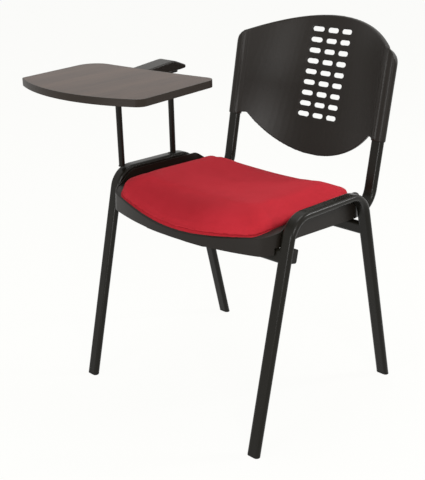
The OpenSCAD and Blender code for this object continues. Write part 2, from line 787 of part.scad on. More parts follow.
module seat_tee_nuts() {
    color(metal_colour) placed() on_seat() at_nuts() difference() {
        union() {
            translate([0, 0, -nut_flange_t]) cylinder(r = nut_flange_r, h = nut_flange_t);
            translate([0, 0, -nut_l]) cylinder(r = nut_barrel_r, h = nut_l);
        }
        translate([0, 0, -nut_l - over])
            cylinder(r = seat_screw_r + pin_clear, h = nut_l + 2 * over);
    }
}

module seat_screws() {
    color(metal_colour) placed() on_seat() for (s = [-1, 1], y = seat_screw_ys)
        translate([s * seat_screw_x, y, -tube_d]) {
            cylinder(r = seat_screw_r, h = tube_d + nut_at(y) - screw_slack);
            translate([0, 0, -seat_head_h]) cylinder(r = seat_head_r, h = seat_head_h);
        }
}

// Cushion: rings of one outline, drawn in at the sides and rising to a crown
cushion_mid = [0, (pan_front + pan_rear) / 2];
cushion_half = (pan_rear - pan_front) / 2;
cushion_arc_steps = 5;
cushion_edge_steps = 8;
cushion_rings = 10;
cushion_low_rings = 6;
cushion_low_step = waterfall_l / cushion_half / cushion_low_rings;
// Height that keeps the flat faces of the cushion's underside off the rolled front of the board
cushion_low_lift = pow(2 * waterfall_l / cushion_low_rings, 2) / 8 / waterfall_r;
function steps(a, b, n) = [for (i = [0 : n - 1]) a + (b - a) * i / n];
function cushion_outline() =
    let (w = pan_half_w - cushion_inset, bow = pan_bow_r - cushion_inset,
        c = [0, pan_front + pan_bow_r],
        fr = pan_front_r - cushion_inset, rr = pan_rear_r - cushion_inset,
        fc = [w - fr, c[1] - sqrt(pow(bow - fr, 2) - pow(w - fr, 2))],
        rc = [w - rr, pan_rear - cushion_inset - rr],
        roll = max(waterfall_y, fc[1] + fr / 4),
        a = atan2(fc[1] - c[1], fc[0]), n = cushion_arc_steps, m = cushion_edge_steps)
    concat(
        [for (t = steps(a, 0, n)) fc + fr * turn(t)],
        [for (y = concat(steps(fc[1], roll, 2), steps(roll, rc[1], m - 1))) [w, y]],
        [for (t = steps(0, 90, n)) rc + rr * turn(t)],
        [for (x = steps(rc[0], -rc[0], m)) [x, rc[1] + rr]],
        [for (t = steps(90, 180, n)) [-rc[0], rc[1]] + rr * turn(t)],
        [for (y = concat(steps(rc[1], roll, m - 1), steps(roll, fc[1], 2))) [-w, y]],
        [for (t = steps(180, 180 - a, n)) [-fc[0], fc[1]] + fr * turn(t)],
        [for (t = steps(-180 - a, a, m)) c + bow * turn(t)]);
cushion_low_share = 1 - cushion_draw / cushion_half;
// Each ring is [share of the outline, height over the lip, share of the left and right rise]
cushion_profile = concat(
    [[cushion_low_share, cushion_gap, 0], [(1 + cushion_low_share) / 2, cushion_side_h / 4, 0],
        [1, cushion_side_h * 3 / 4, 0]],
    [for (i = [0 : cushion_rings - 1]) let (t = pow(1 - i / cushion_rings, 0.6)
        * (1 - cushion_draw / 4 / cushion_half), u = 1 - pow(t, 6))
        [t, cushion_side_h + cushion_crown * u, u]]);

module seat_cushion() {
    outline = cushion_outline();
    n = len(outline);
    m = len(cushion_profile);
    ring_points = [for (k = cushion_profile, p = outline) let (q = cushion_mid
        + k[0] * (p - cushion_mid)) [q[0], q[1], lip_at(q[1]) + k[1]
        + k[2] * cushion_dish * pow(q[0] / pan_half_w, 2)]];
    low_points = [for (k = [1 : cushion_low_rings], p = outline) let (q = cushion_mid
        + (cushion_low_share - k * cushion_low_step) * (p - cushion_mid))
        [q[0], q[1], lip_at(q[1]) + cushion_gap + (q[1] < waterfall_y ? cushion_low_lift : 0)]];
    mid = [cushion_mid[0], cushion_mid[1], lip_at(cushion_mid[1])];
    top = mid + [0, 0, cushion_side_h + cushion_crown];
    foot = mid + [0, 0, cushion_gap];
    low = m + cushion_low_rings - 1;
    function band(a, b) = [for (i = [0 : n - 1]) let (j = (i + 1) % n)
        each [[a + i, b + i, b + j], [a + i, b + j, a + j]]];
    faces = concat(
        [for (k = [0 : m - 2]) each band(k * n, (k + 1) * n)],
        [for (i = [0 : n - 1]) [(m - 1) * n + i, (low + 1) * n, (m - 1) * n + (i + 1) % n]],
        band(m * n, 0), [for (k = [m : low - 1]) each band((k + 1) * n, k * n)],
        [for (i = [0 : n - 1]) [low * n + (i + 1) % n, (low + 1) * n + 1, low * n + i]]);
    color(fabric_colour) placed() on_seat()
        polyhedron(concat(ring_points, low_points, [top, foot]), faces);
}

// Backrest outline seen from the front, drawn in by a margin
module back_outline(margin) {
    w = back_half_w - margin;
    r = back_corner_r - margin;
    top_r = back_top_r - margin;
    top_c = [0, back_top - back_top_r];
    cx = w - r;
    corner_c = [cx, top_c[1] + sqrt(pow(top_r - r, 2) - pow(cx, 2))];
    difference() {
        intersection() {
            translate(top_c) circle(top_r, $fn = 180);
            translate([-w, belly_z]) square([2 * w, back_top]);
        }
        for (s = [0, 1]) mirror([s, 0])
            corner_waste(corner_c, r, toward(top_c, corner_c), [1, 0]);
    }
}
// The panel's part of the outline, between the sleeves
module panel_outline(margin) {
    w = panel_half_w - margin;
    intersection() {
        back_outline(margin);
        translate([-w, belly_z]) square([2 * w, back_top]);
        union() {
            translate([0, belly_z + belly_r]) circle(belly_r - margin, $fn = 180);
            translate([-w, sleeve_z + notch_rise + margin]) square([2 * w, back_top]);
        }
    }
}
// An outline pushed through the chair from front to rear
module back_prism() {
    translate([0, vast / 2, 0]) rotate([90, 0, 0]) linear_extrude(vast) children();
}
// Conical wall whose front face holds the panel's middle line
module cone_wall(depth) {
    reach = back_top - belly_z;
    slant = reach * tan(panel_cone);
    translate([0, panel_y, back_z]) rotate([-panel_lean, 0, 0])
        rotate([-panel_cone, 0, 0]) translate([0, -panel_r, 0])
            rotate_extrude($fn = 180) polygon([
                [panel_r + slant, -reach], [panel_r + slant + depth / cos(panel_cone), -reach],
                [panel_r - slant + depth / cos(panel_cone), reach], [panel_r - slant, reach]]);
}
module slots() {
    translate([0, panel_y, back_z]) rotate([-panel_lean, 0, 0])
        for (i = [0 : slot_columns - 1], k = [0 : slot_rows - 1])
            translate([(i - (slot_columns - 1) / 2) * slot_pitch_x, 0,
                (k - (slot_rows - 1) / 2) * slot_pitch_z])
                rotate([90, 0, 0]) linear_extrude(4 * rim_d, center = true) oval(slot_l, slot_h);
}
module sleeve_bar(x, extra, low, high) {
    run(x, upright_at(low), upright_at(high), tube_w + 2 * extra, tube_d + 2 * extra);
}
// The sleeves' upper ends slope down to the rear from the outline at their front
cut_at = upright_at(upright_top + back_corner_r / 2);
module sleeve_prism() {
    translate([0, cut_at[0] - back_grip, cut_at[1]]) rotate([-sleeve_cut, 0, 0])
        translate([0, 0, -cut_at[1]]) back_prism() back_outline(0);
}
module backrest_shell() {
    color(plastic_colour) placed() difference() {
        union() {
            intersection() {
                cone_wall(panel_t);
                back_prism() panel_outline(0);
            }
            intersection() {
                cone_wall(rim_d);
                back_prism() difference() {
                    panel_outline(0);
                    panel_outline(rim_w);
                }
            }
            intersection() {
                for (s = [-1, 1]) sleeve_bar(s * up_x, sleeve_wall, sleeve_z, back_top);
                sleeve_prism();
            }
        }
        for (s = [-1, 1])
            sleeve_bar(s * up_x, sleeve_slack, sleeve_z - 2 * rim_d, upright_top + over);
        slots();
        at_back_screws() {
            cylinder(r = small_screw_r + screw_slack, h = back_grip + over);
            translate([0, 0, back_grip]) cylinder(r = small_head_r + screw_slack, h = 2 * rim_d);
        }
    }
}

module backrest_screws() {
    color(metal_colour) placed() at_back_screws() {
        translate([0, 0, sleeve_wall]) cylinder(r = small_screw_r, h = back_grip - sleeve_wall);
        translate([0, 0, back_grip]) cylinder(r = small_head_r, h = small_head_h);
    }
}

// Tubular arm post, coped onto the side rail
module arm_post(y) {
    color(frame_colour) placed() difference() {
        translate([post_x, y, rail_at(y) - tube_d]) difference() {
            cylinder(d = post_d, h = post_top - rail_at(y) + tube_d);
            translate([0, 0, -over])
                cylinder(d = post_d - 2 * post_wall, h = post_top - rail_at(y) + tube_d + 2 * over);
        }
        translate([0, mid_y, rail_z]) rotate([-rail_fall, 0, 0])
            translate([-vast / 2, -vast / 2, tube_d / 2 - vast]) cube(vast);
    }
}
module arm_post_front() { arm_post(post_front_y); }
module arm_post_rear() { arm_post(post_rear_y); }

pad_screw_ys = [post_front_y + post_d + 2 * small_head_r, post_rear_y - post_d - 2 * small_head_r];
module arm_bar() {
    rear = post_rear_y + arm_bar_tail;
    color(frame_colour) placed() translate([post_x, 0, post_top]) difference() {
        linear_extrude(arm_bar_t) {
            translate([-arm_bar_w / 2, arm_bar_front_y + arm_bar_w / 2])
                square([arm_bar_w, rear - arm_bar_front_y - arm_bar_w]);
            for (y = [arm_bar_front_y + arm_bar_w / 2, rear - arm_bar_w / 2])
                translate([0, y]) circle(d = arm_bar_w);
        }
        for (y = pad_screw_ys) translate([0, y, -over])
            cylinder(r = small_screw_r + screw_slack, h = arm_bar_t + 2 * over);
    }
}

// Side view of the arm pad: a wedge that rises to a round crest and falls to a thin tip
pad_front_y = post_front_y - pad_lead;
pad_tip_y = post_rear_y + pad_tail;
pad_crest_y = post_rear_y - pad_crest_lead;
pad_rise = atan2(pad_crest_t - pad_front_t, pad_crest_y - pad_front_y);
pad_drop = atan2(pad_crest_t - pad_tip_t - pad_tip_lift, pad_tip_y - pad_crest_y);
pad_crest_steps = 8;
module pad_profile() {
    c = [pad_crest_y, pad_crest_t - pad_crest_r];
    polygon(concat(
        [[pad_front_y, 0], [post_rear_y, 0], [pad_tip_y, pad_tip_lift],
            [pad_tip_y, pad_tip_lift + pad_tip_t]],
        [for (i = [0 : pad_crest_steps]) c + pad_crest_r
            * turn(90 - pad_drop + (pad_drop + pad_rise) * i / pad_crest_steps)],
        [[pad_front_y, pad_front_t]]));
}
module arm_pad() {
    l = pad_tip_y - pad_front_y;
    hole = small_screw_r + screw_slack;
    color(plastic_colour) placed() translate([post_x, 0, arm_bar_top]) difference() {
        intersection() {
            rotate([90, 0, 90]) linear_extrude(pad_w, center = true) pad_profile();
            translate([-pad_w / 2, pad_front_y, -over]) linear_extrude(pad_crest_t + 2 * over) {
                translate([pad_end_r, 0]) square([pad_w - 2 * pad_end_r, l]);
                translate([0, pad_end_r]) square([pad_w, l - 2 * pad_end_r]);
                for (x = [pad_end_r, pad_w - pad_end_r], y = [pad_end_r, l - pad_end_r])
                    translate([x, y]) circle(pad_end_r);
            }
        }
        for (y = pad_screw_ys) translate([0, y, -over])
            cylinder(r = hole, h = pad_front_t + over);
    }
}
module arm_pad_screws() {
    color(metal_colour) placed() for (y = pad_screw_ys) translate([post_x, y, post_top]) {
        cylinder(r = small_screw_r, h = arm_bar_t + pad_front_t - screw_slack);
        translate([0, 0, -small_head_h]) cylinder(r = small_head_r, h = small_head_h);
    }
}

// Moves a piece from the hinge's frame: origin over the bar, y along the hinge
module at_hinge() {
    translate([post_x, channel_y, 0]) rotate(tablet_turn) children();
}
// A stretch of one knuckle along the hinge, on the channel's side or the leaf's
knuckle_out = hinge_l / 2 - knuckle_l;
knuckle_in = knuckle_out - knuckle_gap - knuckle_l;
module knuckle(y0) {
    for (s = [0, 1]) mirror([0, s, 0]) translate([hinge_x, y0 + knuckle_l, hinge_z])
        rotate([90, 0, 0]) cylinder(r = knuckle_r, h = knuckle_l);
}
module hinge_bore() {
    translate([hinge_x, hinge_l, hinge_z]) rotate([90, 0, 0])
        cylinder(r = pin_r + pin_clear, h = 2 * hinge_l);
}

// Inverted steel channel, welded on the bar, with the fixed knuckles
module hinge_channel() {
    inner = channel_w - 2 * channel_wall;
    color(frame_colour) placed() at_hinge() difference() {
        union() {
            difference() {
                translate([-channel_w / 2, -hinge_l / 2, arm_bar_top])
                    cube([channel_w, hinge_l, channel_h]);
                translate([-inner / 2, -hinge_l, arm_bar_top - over])
                    cube([inner, 2 * hinge_l, channel_h - channel_wall + over]);
            }
            for (s = [0, 1]) mirror([0, s, 0])
                translate([hinge_x, knuckle_in, channel_top - channel_wall])
                    cube([-hinge_x - channel_w / 2 + channel_wall, knuckle_l, channel_wall]);
            knuckle(knuckle_in);
        }
        hinge_bore();
    }
}

module hinge_pin() {
    half = hinge_l / 2 + leaf_gap;
    color(metal_colour) placed() at_hinge() translate([hinge_x, 0, hinge_z])
        rotate([90, 0, 0]) {
            cylinder(r = pin_r, h = 2 * (half + pin_head_t), center = true);
            for (s = [0, 1]) mirror([0, 0, s]) translate([0, 0, half])
                cylinder(r = pin_head_r, h = pin_head_t);
        }
}

// Steel leaf under the tablet, with the moving knuckles
module hinge_leaf() {
    color(frame_colour) placed() at_hinge() difference() {
        union() {
            translate([0, 0, leaf_bottom]) linear_extrude(leaf_t) {
                translate([leaf_notch, -hinge_l / 2])
                    square([leaf_reach - leaf_notch - hinge_corner_r, hinge_l]);
                translate([leaf_notch, hinge_corner_r - hinge_l / 2])
                    square([leaf_reach - leaf_notch, hinge_l - 2 * hinge_corner_r]);
                for (s = [-1, 1])
                    translate([leaf_reach - hinge_corner_r, s * (hinge_l / 2 - hinge_corner_r)])
                        circle(hinge_corner_r);
                for (s = [0, 1]) mirror([0, s])
                    translate([hinge_x, knuckle_out]) square([leaf_notch - hinge_x, knuckle_l]);
            }
            knuckle(knuckle_out);
        }
        hinge_bore();
        at_wood_screws() wood_screw(screw_slack);
    }
}

module at_wood_screws() {
    for (x = wood_screw_xs, y = wood_screw_ys) translate([x, y, leaf_bottom]) children();
}
module wood_screw(slack) {
    cylinder(r1 = wood_head_r + slack, r2 = wood_screw_r + slack, h = leaf_t - leaf_gap);
    cylinder(r = wood_screw_r + slack, h = leaf_t + wood_screw_l + slack);
}
module tablet_screws() {
    color(metal_colour) placed() at_hinge() at_wood_screws() wood_screw(0);
}

// Tablet outline drawn in by a margin
module tablet_outline(margin) {
    r_or = tablet_r_outer_rear - margin;
    r_ir = tablet_r_inner_rear - margin;
    r_if = tablet_r_inner_front - margin;
    r_of = tablet_r_outer_front - margin;
    difference() {
        intersection() {
            translate([tab_x0 + margin, tab_y0])
                square([tablet_w - 2 * margin, tab_y1 + hollow_r / 4 - tab_y0]);
            translate(bow_c) circle(tablet_bow_r - margin, $fn = 180);
        }
        translate(hollow_c) circle(hollow_r + margin, $fn = 360);
        corner_waste(outer_rear, r_or, toward(outer_rear, hollow_c), [-1, 0]);
        corner_waste(inner_rear, r_ir, toward(inner_rear, hollow_c), [1, 0]);
        corner_waste(inner_front, r_if, toward(bow_c, inner_front), [1, 0]);
        corner_waste(outer_front, r_of, toward(bow_c, outer_front), [-1, 0]);
    }
}
module tablet_board() {
    color(tablet_colour) placed() at_hinge() difference() {
        translate([0, 0, tablet_bottom]) linear_extrude(tablet_t) tablet_outline(band_t);
        at_wood_screws() wood_screw(screw_slack);
    }
}
module tablet_edge_band() {
    color(band_colour) placed() at_hinge()
        translate([0, 0, tablet_bottom]) linear_extrude(tablet_t) difference() {
            tablet_outline(0);
            tablet_outline(band_t);
        }
}

side_frame_left();
side_frame_right();
front_crossbar();
rear_crossbar();
upright_left();
upright_right();
foot_plug_front_left();
foot_plug_front_right();
foot_plug_rear_left();
foot_plug_rear_right();
stacking_buffer_left();
stacking_buffer_right();
seat_pan();
seat_board();
seat_cushion();
seat_tee_nuts();
seat_screws();
backrest_shell();
backrest_screws();
arm_post_front();
arm_post_rear();
arm_bar();
arm_pad();
arm_pad_screws();
hinge_channel();
hinge_pin();
hinge_leaf();
tablet_screws();
tablet_board();
tablet_edge_band();
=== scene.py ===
"""Tablet arm chair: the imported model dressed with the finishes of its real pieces."""

import logging
import math
from dataclasses import dataclass, field
from enum import Enum
from typing import Iterable, Sequence

import bmesh
import bpy
import numpy as np
from mathutils import Matrix, Vector


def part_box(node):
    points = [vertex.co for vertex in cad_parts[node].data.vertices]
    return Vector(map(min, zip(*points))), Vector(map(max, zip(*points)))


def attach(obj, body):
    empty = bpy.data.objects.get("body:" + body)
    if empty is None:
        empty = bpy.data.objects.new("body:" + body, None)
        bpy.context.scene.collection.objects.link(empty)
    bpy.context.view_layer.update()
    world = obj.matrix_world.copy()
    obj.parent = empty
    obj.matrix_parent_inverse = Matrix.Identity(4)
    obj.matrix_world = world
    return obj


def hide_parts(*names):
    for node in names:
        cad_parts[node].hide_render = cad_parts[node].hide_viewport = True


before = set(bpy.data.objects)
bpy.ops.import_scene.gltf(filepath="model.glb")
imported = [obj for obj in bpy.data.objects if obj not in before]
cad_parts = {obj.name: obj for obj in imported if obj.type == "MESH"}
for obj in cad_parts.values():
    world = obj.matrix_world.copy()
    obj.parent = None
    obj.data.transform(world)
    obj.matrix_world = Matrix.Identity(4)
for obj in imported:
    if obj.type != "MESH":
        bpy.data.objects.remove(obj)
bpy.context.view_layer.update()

LOG = logging.getLogger("chair")
MM = 0.001
# Place of the side frames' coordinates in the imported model's frame, in mm.
SHIFT = Vector((26.8298, -171.224, 0.0))
IMAGE_SIZE = (425, 480)


class Body(Enum):
    """The body that the pieces made here ride on; the tablet's pieces are carried over with theirs."""

    CHAIR = "chair"


class Slot(Enum):
    """The record's material slots."""

    STEEL = "frame_steel"
    PLASTIC = "black_plastic"
    PLYWOOD = "seat_plywood"
    FABRIC = "red_fabric"
    ZINC = "zinc_steel"
    LAMINATE = "dark_laminate"
    EDGE = "edge_plastic"


def chair_point(x: float, y: float, z: float) -> Vector:
    """Turns a point in the side frames' coordinates, in mm, into metres in the model's frame.

    Args:
        x: Distance to the sitter's left of the middle, in mm.
        y: Distance to the rear, in mm.
        z: Height, in mm.

    Returns:
        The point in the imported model's frame, in metres.
    """
    return (Vector((x, y, z)) + SHIFT) * MM


def linear(hex_colour: str) -> tuple[float, float, float, float]:
    """Turns an sRGB hex colour into the linear colour that a shader takes.

    Args:
        hex_colour: Colour such as "#b9313b".

    Returns:
        Red, green, blue and alpha, linear.
    """
    parts = [int(hex_colour[i:i + 2], 16) / 255 for i in (1, 3, 5)]
    lin = [c / 12.92 if c <= 0.04045 else ((c + 0.055) / 1.055) ** 2.4 for c in parts]
    return (lin[0], lin[1], lin[2], 1.0)


def add_node(tree: bpy.types.NodeTree, kind: str, inputs: dict | None = None, **settings) -> bpy.types.Node:
    """Adds one node with its settings, its values and its links.

    Args:
        tree: The node tree.
        kind: The node's type name.
        inputs: Socket name or number to a value, or to the output socket that feeds it.
        settings: The node's own properties.

    Returns:
        The new node.
    """
    node = tree.nodes.new(kind)
    for name, value in settings.items():
        setattr(node, name, value)
    for socket, source in (inputs or {}).items():
        if isinstance(source, bpy.types.NodeSocket):
            tree.links.new(source, node.inputs[socket])
        else:
            node.inputs[socket].default_value = source
    return node


def per_metre(size_mm: float) -> float:
    """Texture scale that makes one feature of the pattern this many mm wide."""
    return 1.0 / (size_mm * MM)


@dataclass(frozen=True)
class Finish:
    """What every finish shares: a name, a slot, a colour and the gloss of its surface."""

    name: str
    slot: Slot
    colour: str
    roughness: float
    ior: float = 1.5
    specular: float = 0.5

    def tree_start(self) -> tuple[
            bpy.types.Material, bpy.types.NodeTree, bpy.types.Node, bpy.types.NodeSocket]:
        """Makes an empty material with its shader and object coordinates.

        Returns:
            The material, its tree, the shader node and the coordinate socket.
        """
        material = bpy.data.materials.new(self.name)
        material.use_nodes = True
        tree = material.node_tree
        tree.nodes.clear()
        shader = add_node(tree, "ShaderNodeBsdfPrincipled", {
            "Base Color": linear(self.colour), "Roughness": self.roughness, "IOR": self.ior,
            "Specular IOR Level": self.specular})
        add_node(tree, "ShaderNodeOutputMaterial", {"Surface": shader.outputs["BSDF"]})
        place = add_node(tree, "ShaderNodeTexCoord").outputs["Object"]
        return material, tree, shader, place

    def build(self) -> bpy.types.Material:
        """Builds the material.

        Returns:
            The finished material.
        """
        material, tree, shader, place = self.tree_start()
        self.dress(tree, shader, place)
        return material

    def dress(self, tree: bpy.types.NodeTree, shader: bpy.types.Node, place: bpy.types.NodeSocket) -> None:
        """Adds the finish's own pattern to the shader."""


def vary(tree: bpy.types.NodeTree, factor: bpy.types.NodeSocket, dark: str,
         light: str) -> bpy.types.NodeSocket:
    """Runs from one colour to another as a factor rises.

    Args:
        tree: The node tree.
        factor: Socket from 0 to 1.
        dark: Colour at 0.
        light: Colour at 1.

    Returns:
        The colour socket.
    """
    mix = add_node(tree, "ShaderNodeMix", {0: factor, 6: linear(dark), 7: linear(light)}, data_type="RGBA")
    return mix.outputs[2]


@dataclass(frozen=True)
class PowderCoat(Finish):
    """Polyester powder baked on steel tube: satin black, with the slight orange peel of melted powder."""

    peel_mm: float = 2.2
    peel_depth: float = 0.06
    patch_mm: float = 55.0
    patch_gloss: float = 0.05

    def dress(self, tree: bpy.types.NodeTree, shader: bpy.types.Node, place: bpy.types.NodeSocket) -> None:
        """Adds the orange peel and the faint change of gloss along a handled tube."""
        peel = add_node(tree, "ShaderNodeTexNoise", {
            "Vector": place, "Scale": per_metre(self.peel_mm), "Detail": 2.0})
        bump = add_node(tree, "ShaderNodeBump", {
            "Height": peel.outputs["Fac"], "Strength": self.peel_depth, "Distance": 0.2 * MM})
        # Handling leaves broad, faint patches that are a little glossier.
        rub = add_node(tree, "ShaderNodeTexNoise", {
            "Vector": place, "Scale": per_metre(self.patch_mm), "Detail": 3.0})
        gloss = add_node(tree, "ShaderNodeMapRange", {
            "Value": rub.outputs["Fac"], "To Min": self.roughness - self.patch_gloss,
            "To Max": self.roughness + self.patch_gloss})
        tree.links.new(bump.outputs["Normal"], shader.inputs["Normal"])
        tree.links.new(gloss.outputs["Result"], shader.inputs["Roughness"])


@dataclass(frozen=True)
class MouldedPlastic(Finish):
    """Injection-moulded polypropylene from a spark-eroded tool: matt, with a fine even grain."""

    grain_mm: float = 1.1
    grain_depth: float = 0.12
    rub_mm: float = 140.0
    light: str = "#45413c"

    def dress(self, tree: bpy.types.NodeTree, shader: bpy.types.Node, place: bpy.types.NodeSocket) -> None:
        """Adds the eroded grain, and the slightly paler rub where hands and backs touch it."""
        # The real grain is about 0.3 mm; it is drawn coarser so that it shows at all.
        grain = add_node(tree, "ShaderNodeTexVoronoi", {
            "Vector": place, "Scale": per_metre(self.grain_mm)}, feature="SMOOTH_F1")
        bump = add_node(tree, "ShaderNodeBump", {
            "Height": grain.outputs["Distance"], "Strength": self.grain_depth, "Distance": 0.15 * MM})
        rub = add_node(tree, "ShaderNodeTexNoise", {
            "Vector": place, "Scale": per_metre(self.rub_mm), "Detail": 4.0, "Roughness": 0.6})
        tree.links.new(bump.outputs["Normal"], shader.inputs["Normal"])
        tree.links.new(vary(tree, rub.outputs["Fac"], self.colour, self.light), shader.inputs["Base Color"])


@dataclass(frozen=True)
class CrepeCloth(Finish):
    """Close crepe upholstery cloth, piece-dyed red: matt, with a soft sheen of fibre ends."""

    thread_mm: float = 1.7
    weave_depth: float = 0.35
    weave_tone: float = 0.14
    edge_run: float = 0.8
    slub_mm: float = 3.5
    slub_share: float = 1.4
    wash_mm: float = 60.0
    fibre_sheen: float = 0.05
    light: str = "#c23140"

    def dress(self, tree: bpy.types.NodeTree, shader: bpy.types.Node, place: bpy.types.NodeSocket) -> None:
        """Adds the weave, the slubs in its threads and the fibre sheen."""
        # Real threads lie 0.8 mm apart; they are drawn 1.7 mm apart so that they show.
        split = add_node(tree, "ShaderNodeSeparateXYZ", {0: place})
        threads = []
        for across, sign in (("X", 1.0), ("Y", -1.0)):
            # The rolled edges turn the cloth down, so height is added to the run of each thread.
            run = add_node(tree, "ShaderNodeMath", {
                0: split.outputs["Z"], 1: sign * self.edge_run, 2: split.outputs[across]},
                operation="MULTIPLY_ADD")
            turn = add_node(tree, "ShaderNodeMath", {
                0: run.outputs[0], 1: math.pi * per_metre(self.thread_mm)}, operation="MULTIPLY")
            wave = add_node(tree, "ShaderNodeMath", {0: turn.outputs[0]}, operation="SINE")
            threads.append(wave.outputs[0])
        weave = add_node(tree, "ShaderNodeMath", {0: threads[0], 1: threads[1]}, operation="MULTIPLY")
        slub = add_node(tree, "ShaderNodeTexNoise", {
            "Vector": place, "Scale": per_metre(self.slub_mm), "Detail": 4.0, "Roughness": 0.7})
        height = add_node(tree, "ShaderNodeMath", {
            0: slub.outputs["Fac"], 1: self.slub_share, 2: weave.outputs[0]},
            operation="MULTIPLY_ADD")
        bump = add_node(tree, "ShaderNodeBump", {
            "Height": height.outputs[0], "Strength": self.weave_depth, "Distance": 0.35 * MM})
        wash = add_node(tree, "ShaderNodeTexNoise", {
            "Vector": place, "Scale": per_metre(self.wash_mm), "Detail": 5.0, "Roughness": 0.65})
        tone = add_node(tree, "ShaderNodeMath", {
            0: weave.outputs[0], 1: self.weave_tone, 2: wash.outputs["Fac"]},
            operation="MULTIPLY_ADD", use_clamp=True)
        tree.links.new(bump.outputs["Normal"], shader.inputs["Normal"])
        tree.links.new(vary(tree, tone.outputs[0], self.colour, self.light), shader.inputs["Base Color"])
        shader.inputs["Sheen Weight"].default_value = self.fibre_sheen
        shader.inputs["Sheen Roughness"].default_value = 0.5
        shader.inputs["Sheen Tint"].default_value = linear("#ff8a90")


@dataclass(frozen=True)
class WoodLaminate(Finish):
    """High-pressure laminate with a printed dark timber grain: satin, smooth, slightly warm."""

    grain_mm: float = 5.0
    grain_turn: float = -5.5
    grain_stretch: float = 0.07
    cloud_mm: float = 70.0
    light: str = "#5a504a"

    def dress(self, tree: bpy.types.NodeTree, shader: bpy.types.Node, place: bpy.types.NodeSocket) -> None:
        """Adds the printed grain, drawn out along the tablet, and the pressed pore texture."""
        stretch = add_node(tree, "ShaderNodeMapping", {
            "Vector": place, "Rotation": (0.0, 0.0, math.radians(self.grain_turn)),
            "Scale": (1.0, self.grain_stretch, 1.0)})
        grain = add_node(tree, "ShaderNodeTexNoise", {
            "Vector": stretch.outputs["Vector"], "Scale": per_metre(self.grain_mm),
            "Detail": 6.0, "Roughness": 0.65, "Distortion": 0.4})
        cloud = add_node(tree, "ShaderNodeTexNoise", {
            "Vector": stretch.outputs["Vector"], "Scale": per_metre(self.cloud_mm), "Detail": 2.0})
        blend = add_node(tree, "ShaderNodeMath", {
            0: grain.outputs["Fac"], 1: cloud.outputs["Fac"]}, operation="MULTIPLY")
        factor = add_node(tree, "ShaderNodeMapRange", {
            "Value": blend.outputs[0], "From Min": 0.12, "From Max": 0.4})
        bump = add_node(tree, "ShaderNodeBump", {
            "Height": grain.outputs["Fac"], "Strength": 0.05, "Distance": 0.1 * MM})
        tree.links.new(bump.outputs["Normal"], shader.inputs["Normal"])
        tone = vary(tree, factor.outputs["Result"], self.colour, self.light)
        tree.links.new(tone, shader.inputs["Base Color"])


@dataclass(frozen=True)
class BirchPly(Finish):
    """Raw birch plywood: pale, dry and matt, with long fine grain."""

    light: str = "#d9bd92"
    grain_mm: float = 3.0
    grain_stretch: float = 0.05

    def dress(self, tree: bpy.types.NodeTree, shader: bpy.types.Node, place: bpy.types.NodeSocket) -> None:
        """Adds the veneer's grain along the seat's width."""
        stretch = add_node(tree, "ShaderNodeMapping", {
            "Vector": place, "Scale": (self.grain_stretch, 1.0, 1.0)})
        grain = add_node(tree, "ShaderNodeTexNoise", {
            "Vector": stretch.outputs["Vector"], "Scale": per_metre(self.grain_mm), "Detail": 5.0})
        tree.links.new(vary(tree, grain.outputs["Fac"], self.colour, self.light), shader.inputs["Base Color"])


@dataclass(frozen=True)
class ZincPlate(Finish):
    """Zinc-plated steel screws: pale metal with a faint cloudy passivation."""

    cloud_mm: float = 4.0
    cloud_gloss: float = 0.08

    def dress(self, tree: bpy.types.NodeTree, shader: bpy.types.Node, place: bpy.types.NodeSocket) -> None:
        """Makes the shader a metal and clouds its gloss."""
        shader.inputs["Metallic"].default_value = 1.0
        cloud = add_node(tree, "ShaderNodeTexNoise", {
            "Vector": place, "Scale": per_metre(self.cloud_mm), "Detail": 3.0})
        gloss = add_node(tree, "ShaderNodeMapRange", {
            "Value": cloud.outputs["Fac"], "To Min": self.roughness - self.cloud_gloss,
            "To Max": self.roughness + self.cloud_gloss})
        tree.links.new(gloss.outputs["Result"], shader.inputs["Roughness"])


@dataclass(frozen=True)
class EdgeBand(Finish):
    """ABS edging glued round the board: satin dark brown, with the fine lines of its extrusion."""

    light: str = "#3b3631"
    line_mm: float = 2.0
    line_depth: float = 0.06

    def dress(self, tree: bpy.types.NodeTree, shader: bpy.types.Node, place: bpy.types.NodeSocket) -> None:
        """Adds the extrusion lines that run along the band."""
        stretch = add_node(tree, "ShaderNodeMapping", {"Vector": place, "Scale": (0.05, 0.05, 1.0)})
        lines = add_node(tree, "ShaderNodeTexNoise", {
            "Vector": stretch.outputs["Vector"], "Scale": per_metre(self.line_mm), "Detail": 3.0})
        bump = add_node(tree, "ShaderNodeBump", {
            "Height": lines.outputs["Fac"], "Strength": self.line_depth, "Distance": 0.1 * MM})
        tree.links.new(bump.outputs["Normal"], shader.inputs["Normal"])
        tree.links.new(vary(tree, lines.outputs["Fac"], self.colour, self.light), shader.inputs["Base Color"])


POWDER = PowderCoat("satin black powder coat", Slot.STEEL, "#16140f", 0.28, 1.5, 0.18)
PLASTIC = MouldedPlastic("moulded black polypropylene", Slot.PLASTIC, "#17130f", 0.38, 1.49, 0.22,
                         light="#1f1a15")
RUBBER = MouldedPlastic("black buffer plastic", Slot.PLASTIC, "#151311", 0.5, 1.49, 0.15, light="#1c1a17")
CLOTH = CrepeCloth("red crepe upholstery cloth", Slot.FABRIC, "#ad232c", 0.85, 1.45, 0.15, light="#c02c38")
LAMINATE = WoodLaminate("dark wood-grain laminate", Slot.LAMINATE, "#382a22", 0.36, 1.5, 0.1, light="#523f34")
EDGING = EdgeBand("dark ABS edging", Slot.EDGE, "#211a14", 0.42, 1.5, 0.2, light="#2a221b")
PLYWOOD = BirchPly("raw birch plywood", Slot.PLYWOOD, "#b8935f", 0.8)
ZINC = ZincPlate("zinc-plated steel", Slot.ZINC, "#a9a9a4", 0.35)


